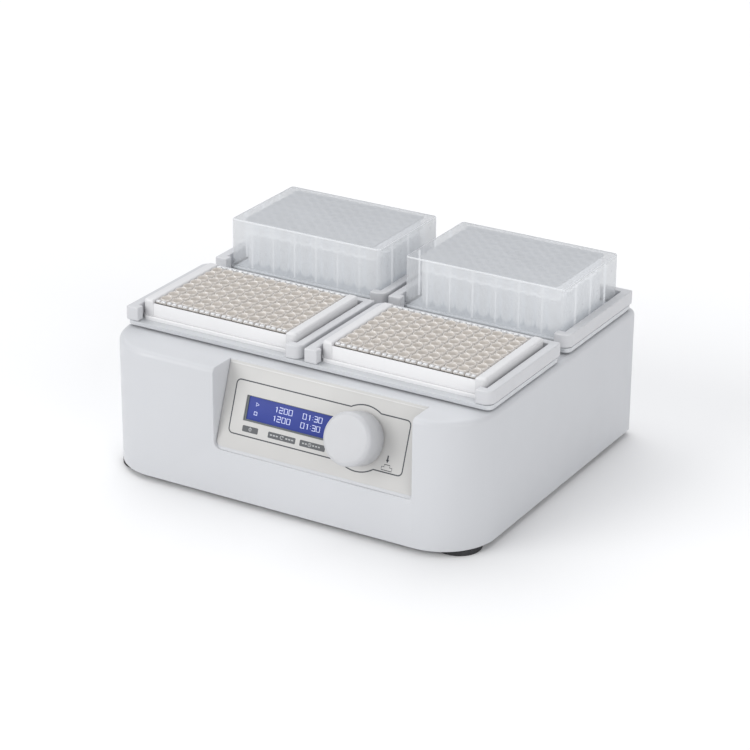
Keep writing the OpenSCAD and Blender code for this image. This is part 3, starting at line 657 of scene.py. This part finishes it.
def add_push_mark():
    """Small arrow pointing down at the outline of a push button."""
    push = bmesh.new()
    x, v = 81.8, 12.4  # middle and lower edge of the button
    stem = x - 0.4
    line_strip(push, [(stem, v + 10.0), (stem, v + 7.0)], 0.95)
    stack(push, [([(stem - 1.2, v + 7.1), (stem, v + 4.9), (stem + 1.2, v + 7.1)], h) for h in (0, INK)])
    cap = [(x - 3.9, v), (x + 3.9, v), (x + 3.9, v + 2.2), (x + 2.1, v + 2.2), (x + 2.1, v + 3.8),
           (x - 2.1, v + 3.8), (x - 2.1, v + 2.2), (x - 3.9, v + 2.2)]
    line_strip(push, cap, 0.5, closed=True)
    belong_to(on_panel("push_mark", push, "panel_ink"), "panel_overlay")


def add_plaques():
    """Three dark plaques under the display: power, speed and time, as plain signs and strokes."""
    plaques = bmesh.new()
    marks = bmesh.new()
    v = 16.1  # middle of the plaques
    for x0, x1 in ((-31.2, -18.8), (-10.8, 10.8), (14.2, 34.0)):
        rounded_slab(plaques, (x0, 13.9), (x1, 18.1), (0.7,) * 4, 0, INK, steps=3)
    top = 2 * INK
    line_strip(marks, arc(-25, v, 1.0, 0, 345, 20), 0.4, 0, top)
    line_strip(marks, [(-25, v - 0.4), (-25, v + 1.5)], 0.4, 0, top)
    line_strip(marks, arc(0, v, 1.1, 40, 320, 20), 0.4, 0, top)
    stack(marks, [([(0.2, v + 0.4), (1.7, v + 0.4), (1.0, v + 1.5)], h) for h in (0, top)])
    for side in (-1, 1):
        for x0, x1 in ((3.0, 4.6), (5.3, 6.9), (7.6, 9.2)):
            line_strip(marks, [(side * x0, v), (side * x1, v)], 0.9, 0, top)
    line_strip(marks, arc(22, v, 1.15, 0, 360, 20)[:-1], 0.35, 0, top, closed=True)
    line_strip(marks, [(22, v + 0.8), (22, v), (22.6, v - 0.3)], 0.3, 0, top)
    for x0, x1 in ((16.2, 17.6), (18.4, 19.8), (24.2, 25.6), (26.4, 27.8), (28.6, 30.0)):
        line_strip(marks, [(x0, v), (x1, v)], 0.9, 0, top)
    belong_to(on_panel("panel_plaques", plaques, "plaque_ink"), "panel_overlay")
    belong_to(on_panel("panel_pictograms", marks, "pictogram_ink"), "panel_overlay")


# Strokes of the display's figures, as points on a grid one figure wide and two squares high
FIGURES = {
    "0": [[(0, 0), (0, 2), (1, 2), (1, 0), (0, 0)]],
    "1": [[(0.35, 1.6), (0.7, 2), (0.7, 0)]],
    "2": [[(0, 2), (1, 2), (1, 1), (0, 1), (0, 0), (1, 0)]],
    "3": [[(0, 2), (1, 2), (1, 0), (0, 0)], [(0.15, 1), (1, 1)]],
    ":": [[(0.5, 0.45), (0.5, 0.6)], [(0.5, 1.4), (0.5, 1.55)]],
    ">": [[(0.1, 0.3), (0.1, 1.7), (0.9, 1), (0.1, 0.3)]],
    "o": [[(0.1, 0.4), (0.1, 1.6), (0.95, 1.6), (0.95, 0.4), (0.1, 0.4)]],
}


def draw_figures(bm, text, x, v, pitch=3.75, width=2.6, height=3.6):
    """Draws text from x on, with its middle at height v; a colon takes half a figure's room."""
    for figure in text:
        room = 0.5 if figure == ":" else 1
        for stroke in FIGURES[figure]:
            points = [(x + px * width * room, v + (pv / 2 - 0.5) * height) for px, pv in stroke]
            ring = points[0] == points[-1]
            line_strip(bm, points[:-1] if ring else points, 0.52, GLASS, GLASS + INK, closed=ring)
        x += pitch * room


def add_display():
    """Blue glass with a dark border, widest at the left, and two lines of figures."""
    x0, x1 = LCD_X - LCD_W / 2, LCD_X + LCD_W / 2
    v0, v1 = LCD_V - LCD_H / 2, LCD_V + LCD_H / 2
    glass = bmesh.new()
    rounded_slab(glass, (x0 - 1.3, v0 - 1.3), (x1 + 1.3, v1 + 1.3), (1,) * 4, -2.3, GLASS, top=0.1, turn=2)
    stand_for(on_panel("display_glass", glass, "display_window"), "display_window")
    edge = bmesh.new()
    side, below, thin = 1.7, 1.2, 0.5  # widths of the dark border inside the opening
    for low, high in (((x0, v0), (x0 + side, v1)), ((x0 + side, v0), (x1, v0 + below)),
                      ((x0 + side, v1 - thin), (x1, v1)), ((x1 - thin, v0 + below), (x1, v1 - thin))):
        box_mesh(edge, (*low, GLASS), (*high, GLASS + 0.5))
    belong_to(on_panel("display_edge", edge, "display_edge"), "display_window")
    figures = bmesh.new()
    for v, shift, mark in ((33.6, 0.0, ">"), (27.4, -0.6, "o")):
        draw_figures(figures, mark, -24.6 + shift, v, height=3.4)
        draw_figures(figures, "1200", -9.8 + shift, v)
        draw_figures(figures, "01:30", 12.6 + shift, v, pitch=3.5, width=2.5)
    belong_to(on_panel("display_figures", figures, "display_digits"), "display_window")


def add_knob():
    """Hollow push-and-turn knob with a softly rounded rim and a very slightly domed face."""
    radius, top, gap, rim = 18.2, 21.0, 1.6, 3.4
    outer = [(radius - 0.35, gap), (radius, gap + 0.5), (radius, top - rim - 0.25)]
    outer += [(radius - rim * (1 - math.cos(a)) * 0.9, top - rim - 0.25 + rim * math.sin(a))
              for a in (math.radians(90 * i / 10) for i in range(1, 11))]
    outer += [(r, top - 0.25 + 0.25 * (1 - (r / 15.2) ** 2)) for r in (13, 10, 6, 0)]
    inner = [(0, top - 5), (3, top - 5), (3, 5), (6, 5), (6, top - 3), (radius - 2.4, top - 3),
             (radius - 2.4, gap)]
    bm = bmesh.new()
    lathe(bm, outer + inner, (KNOB_X, KNOB_V), 96)
    stand_for(on_panel("knob_cap", bm, "knob_plastic", smooth=40), "knob")


# ---------- Platform ----------

def add_trays():
    """Each tray has rounded edges."""
    for node in ("front_tray", "back_tray"):
        softened(node, 0.0005)


def add_nests():
    for node in ("nest_front_left", "nest_front_right", "nest_back_left", "nest_back_right"):
        softened(node, 0.0009, 3, angle=30)


# ---------- Microplates ----------

PITCH = 0.009
COLUMNS = [(c - 5.5) * PITCH for c in range(12)]
ROWS = [(r - 3.5) * PITCH for r in range(8)]


def square_ring(cx, cy, half_x, half_y, z, bm, steps):
    """Points on a rectangle's edge in the directions of a circle's points."""
    ring = []
    for i in range(steps):
        a = 2 * math.pi * i / steps
        c, s = math.cos(a), math.sin(a)
        k = min(half_x / abs(c) if abs(c) > 1e-9 else 1e9, half_y / abs(s) if abs(s) > 1e-9 else 1e9)
        ring.append(bm.verts.new((cx + c * k, cy + s * k, z)))
    return ring


def well(bm, cx, cy, half_x, half_y, z, profile, steps):
    """One cell of a well plate: a flat square round a hole, then rings of (radius, height, material)."""
    last = square_ring(cx, cy, half_x, half_y, z, bm, steps)
    for r, level, paint in profile:
        ring = [bm.verts.new((cx + r * math.cos(2 * math.pi * i / steps),
                              cy + r * math.sin(2 * math.pi * i / steps), z + level)) for i in range(steps)]
        bridge(bm, ring, last, paint)
        last = ring
    bm.faces.new(last).material_index = profile[-1][2]


def round_floor(r, z, paint=0, turns=4):
    """Profile of a hemispherical floor that starts at height z."""
    return [(r * math.cos(a), z - r * math.sin(a), paint) for a in
            (math.radians(80 * i / turns) for i in range(1, turns + 1))]


def well_block(bm, xs, ys, half, z, thickness, inner, outer, steps):
    """Solid deck of wells: flat top at z, flat underside, and a cup below it for each well."""
    for x in xs:
        for y in ys:
            well(bm, x, y, *half, z, inner, steps)
            well(bm, x, y, *half, z - thickness, outer, steps)
    bmesh.ops.remove_doubles(bm, verts=bm.verts, dist=1e-6)
    rim = [e for e in bm.edges if e.is_boundary and all(abs(v.co.z - z) < 1e-6 for v in e.verts)]
    made = bmesh.ops.extrude_edge_only(bm, edges=rim)
    for v in made["geom"]:
        if isinstance(v, bmesh.types.BMVert):
            v.co.z = z - thickness


def chamfered_outline(low, high, cut_off, inset):
    """Foot of a microplate: a rectangle whose front left and back right corners are cut off."""
    x0, y0, x1, y1 = low.x + inset, low.y + inset, high.x - inset, high.y - inset
    return [(x0 + cut_off, y0), (x1, y0), (x1, y1 - cut_off), (x1 - cut_off, y1), (x0, y1),
            (x0, y0 + cut_off)]


FOOT_H = 0.0026
FOOT_STEP = 0.0016
END_W = 0.0080  # width of a strip frame's raised ends
END_R = 0.0026  # radius of their outer upright edges


def add_strip_frame(node):
    """Foot, two raised ends with round edges, and lower front and back walls set back between them."""
    low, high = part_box(node)
    frame_mesh = bmesh.new()
    stack(frame_mesh, [(chamfered_outline(low, high, 0.004, inset), low.z + h)
                       for inset, h in ((0, 0), (0, FOOT_H - 0.0005), (0.0003, FOOT_H))])
    hollow = bmesh.new()
    box_mesh(hollow, Vector((low.x + 0.0096, low.y + 0.0031, low.z - OVER)),
             Vector((high.x - 0.0096, high.y - 0.0031, low.z + OVER)))
    frame_mesh = cut(frame_mesh, hollow)
    inner = low.x + FOOT_STEP, low.y + FOOT_STEP, high.x - FOOT_STEP, high.y - FOOT_STEP
    for x0, x1, radii in ((inner[0], inner[0] + END_W, (END_R, 0.0005, 0.0005, END_R)),
                          (inner[2] - END_W, inner[2], (0.0005, END_R, END_R, 0.0005))):
        end = bmesh.new()
        rounded_slab(end, (x0, inner[1]), (x1, inner[3]), radii, low.z + 0.001, high.z, top=0.0018,
                     steps=5, turn=5)
        frame_mesh = cut(frame_mesh, end, "UNION")
    for y0, y1 in ((inner[1] + 0.0005, inner[1] + 0.0015), (inner[3] - 0.0015, inner[3] - 0.0005)):
        wall = bmesh.new()
        rounded_slab(wall, (inner[0] + END_W - 0.001, y0), (inner[2] - END_W + 0.001, y1), (0.0001,) * 4,
                     low.z + 0.001, high.z - 0.0024, top=0.0002, steps=1, turn=2)
        frame_mesh = cut(frame_mesh, wall, "UNION")
    half = (inner[2] - inner[0]) / 2 - END_W
    # Walls that face forwards or backwards between the ends take the lighter copy of the white: painted
    # light.
    for face in frame_mesh.faces:
        face.normal_update()
        if abs(face.normal.y) > 0.5 and abs(face.calc_center_median().x - (low.x + high.x) / 2) < half:
            face.material_index = 1
    stand_for(finished(node + "_moulding", frame_mesh, "plate_white", smooth=30,
                       extra=("plate_white_lit_front",)), node)


def add_strips(node):
    """Twelve clear strips of eight wells, with a pair of small ears at each end of a strip."""
    low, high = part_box(node)
    cx, cy = (low.x + high.x) / 2, (low.y + high.y) / 2
    rim = 0.0011
    deck = high.z - rim
    # The rims take the lighter rim material as a painted highlight; the wells' insides glow as painted
    # light.
    inner = [(0.0041, 0, 0), (0.0040, rim * 0.85, 1), (0.0038, rim, 1), (0.0035, rim * 0.85, 1),
             (0.0031, -0.006, 2)]
    outer = [(0.0038, 0, 0), (0.0037, -0.0066, 0)]
    inner += round_floor(0.0031, -0.006, 2, 3)
    outer += round_floor(0.0037, -0.0066, 0, 3)
    strips = bmesh.new()
    for x in COLUMNS:
        strip = bmesh.new()
        well_block(strip, [cx + x], [cy + y for y in ROWS], (PITCH / 2 - 0.00012, PITCH / 2), deck, 0.0012,
                   inner, outer, 20)
        merge(strips, strip)
    stand_for(finished(node + "_wells", strips, "clear_polystyrene", smooth=50,
                       extra=("strip_rim_highlight", "strip_inside_glow")), node)
    # The ears are near-white rather than clear: painted glints.
    tabs = bmesh.new()
    tongues = bmesh.new()
    for x in COLUMNS:
        for end in (-1, 1):
            near, far = cy + end * (4 * PITCH + 0.0001), cy + end * (high.y - low.y) / 2
            tab(tongues, cx + x, 0.0043, near, far - end * 0.0004, high.z - 0.0011)
            for k in (-1, 1):
                tab(tabs, cx + x + k * 0.0021, 0.0016, near + end * 0.0006, far, high.z)
    belong_to(finished(node + "_tabs", tabs, "strip_tab_glint", smooth=60), node)
    belong_to(finished(node + "_tongues", tongues, "clear_polystyrene", smooth=60), node)


def tab(bm, x, half, near, far, top):
    """Small raised ear at the end of a strip, with rounded edges."""
    y0, y1 = min(near, far), max(near, far)
    rounded_slab(bm, (x - half, y0), (x + half, y1), (0.0005,) * 4, top - 0.0012, top, top=0.0006,
                 bottom=0.0002, steps=3, turn=3)


DEEP_CORNER = 0.0045  # radius of a deep plate's upright corners at its foot
DEEP_EDGE = 0.0008  # rounding of its upper edge


def add_deep_plate(node):
    """Frosted block with a foot, ribs behind its walls and 96 deep round wells."""
    low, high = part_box(node)
    add_deep_shell(node, low, high)
    add_deep_wells(node, low, high)
    add_glowing_floor_sheet(node, low, high)
    add_deep_ribs(node, low, high)


def add_deep_shell(node, low, high):
    """Outer walls and top; the top's edge has a lighter material as a painted highlight and the top itself a
    darker one as painted shade.
    """
    levels = [(0, 0), (0, FOOT_H - 0.0006), (0.0003, FOOT_H - 0.0001), (FOOT_STEP, FOOT_H)]
    levels += [(FOOT_STEP + DEEP_EDGE * (1 - math.cos(a)), high.z - low.z - DEEP_EDGE * (1 - math.sin(a)))
               for a in (math.radians(22.5 * i) for i in range(5))]
    shell = bmesh.new()
    stack(shell, [(rounded_outline((low.x + inset, low.y + inset), (high.x - inset, high.y - inset),
                                   (DEEP_CORNER - inset,) * 4, 6), low.z + h) for inset, h in levels])
    for face in shell.faces:
        height = face.calc_center_median().z
        # The top faces take the darker copy as painted shade, the rounded edge the lighter one as a painted
        # highlight.
        if height > high.z - 1e-5:
            face.material_index = 2
        elif height > high.z - DEEP_EDGE:
            face.material_index = 1
    stand_for(finished(node + "_shell", shell, "frosted_polypropylene", smooth=35,
                       extra=("frosted_edge_highlight", "frosted_top_shaded")), node)


def add_deep_wells(node, low, high):
    """Deck just under the top, with 96 wells whose collars run round them a quarter of the way down. The
    wells glow as painted light, and the collars glow brighter as a painted band of highlights.
    """
    cx, cy = (low.x + high.x) / 2, (low.y + high.y) / 2
    deck = bmesh.new()
    level = high.z - 0.0003
    floor = low.z + 0.0072 - level  # where the wells' round floors start
    inner = [(0.0042, 0, 2), (0.0041, 0.0001, 2), (0.0039, 0.0001, 2), (0.0038, -0.0004, 1),
             (0.0037, -0.028, 1)]
    # The collar rings take the brighter rib material: a painted band of highlights.
    outer = [(0.0042, 0, 0), (0.0041, -0.0088, 0), (0.0043, -0.0092, 3), (0.0043, -0.0102, 3),
             (0.0040, -0.0106, 0), (0.0039, floor, 0)]
    well_block(deck, [cx + x for x in COLUMNS], [cy + y for y in ROWS], (PITCH / 2, PITCH / 2), level, 0.001,
               inner + round_floor(0.0037, -0.028, 1, 3), outer + round_floor(0.0039, floor), 20)
    belong_to(finished(node + "_wells", deck, "well_polypropylene_glow", smooth=50,
                       extra=("well_inside_glow", "well_deck_glow", "rib_and_collar_glow")), node)


def add_glowing_floor_sheet(node, low, high):
    """Thin glowing sheet near the bottom, which is what shows through the walls below the wells: painted
    light for light scattered inside the plate.
    """
    glowing_sheet = bmesh.new()
    margin = FOOT_STEP + 0.0004
    rounded_slab(glowing_sheet, (low.x + margin, low.y + margin), (high.x - margin, high.y - margin),
                 (0.002,) * 4, low.z + 0.0004, low.z + 0.0010, steps=3)
    belong_to(finished(node + "_floor", glowing_sheet, "inner_floor_glow"), node)


def add_deep_ribs(node, low, high):
    """Upright ribs behind the walls: six at the front and back, three at each side. They glow brighter than
    the walls as painted highlights.
    """
    cx, cy = (low.x + high.x) / 2, (low.y + high.y) / 2
    ribs = bmesh.new()
    thin, deep = 0.0002, 0.0016
    z0, z1 = low.z + 0.003, high.z - 0.0015
    x0, y0, x1, y1 = (low.x + FOOT_STEP, low.y + FOOT_STEP, high.x - FOOT_STEP, high.y - FOOT_STEP)
    for x in (cx + PITCH * k for k in (-5, -3, -1, 1, 3, 5)):
        for ya, yb in ((y0 + 0.0002, y0 + deep), (y1 - deep, y1 - 0.0002)):
            box_mesh(ribs, Vector((x - thin, ya, z0)), Vector((x + thin, yb, z1)))
    for y in (cy + PITCH * k for k in (-2.5, 0, 2.5)):
        for xa, xb in ((x0 + 0.0002, x0 + deep), (x1 - deep, x1 - 0.0002)):
            box_mesh(ribs, Vector((xa, y - thin, z0)), Vector((xb, y + thin, z1)))
    belong_to(finished(node + "_ribs", ribs, "rib_and_collar_glow"), node)


# ---------- Fittings ----------

def add_fittings():
    """Plain fittings that only need their edges rounded."""
    softened("feet", 0.0008, 3, angle=50)
    softened("mains_inlet", 0.0006)
    softened("switch_frame", 0.0006)
    softened("rocker", 0.0004)
    softened("base_plate", 0.0003, 1, angle=60)


def dress_cad_nodes():
    """Every CAD node that still shows takes its own procedural material."""
    for name, node in frame["nodes"].items():
        node.data.materials.clear()
        node.data.materials.append(materials[NODE_SLOT[name]])
        node.data.shade_smooth()
        node.data.set_sharp_from_angle(angle=math.radians(30))


# ---------- Stage ----------

def add_stage():
    bm = bmesh.new()
    half = 6.0
    outline = [(-half, -half), (half, -half), (half, half), (-half, half)]
    bm.faces.new(loop_at(bm, outline, 0))
    surface("floor_paper", (0.89, 0.89, 0.895), 0.7, 0.004, 3, 600, 0.00002)
    finished("floor", bm, "floor_paper")


def add_light(name, place, strength, spread, colour):
    """Broad even light from the direction of place; spread is its width as an angle."""
    data = bpy.data.lights.new(name, "SUN")
    data.energy = strength
    data.angle = spread
    data.color = colour
    light = bpy.data.objects.new(name, data)
    light.location = place
    light.rotation_euler = (-Vector(place)).to_track_quat("-Z", "Y").to_euler()
    bpy.context.scene.collection.objects.link(light)


def add_lights():
    world = bpy.data.worlds.new("studio")
    world.use_nodes = True
    background = world.node_tree.nodes["Background"]
    background.inputs["Color"].default_value = (0.97, 0.98, 1.0, 1)
    background.inputs["Strength"].default_value = 0.45
    bpy.context.scene.world = world
    add_light("key", (-1.5, -2.0, 1.1), 1.4, 0.7, (1, 0.998, 0.99))
    add_light("fill", (2.1, -1.1, 0.8), 1.08, 0.8, (1, 0.995, 0.985))
    add_light("top", (-0.7, 0.7, 2.0), 1.52, 1.2, (0.985, 0.99, 1))
    bpy.context.scene.view_settings.view_transform = "Standard"
    bpy.context.scene.view_settings.look = "None"


make_materials()
add_camera()
add_stage()
add_lights()
dress_cad_nodes()
add_housing()
add_overlay()
add_frame_line()
add_push_mark()
add_plaques()
add_display()
add_knob()
add_trays()
add_nests()
for side in ("left", "right"):
    add_strip_frame("strip_frame_" + side)
    add_strips("strips_" + side)
    add_deep_plate("deep_plate_" + side)
add_fittings()
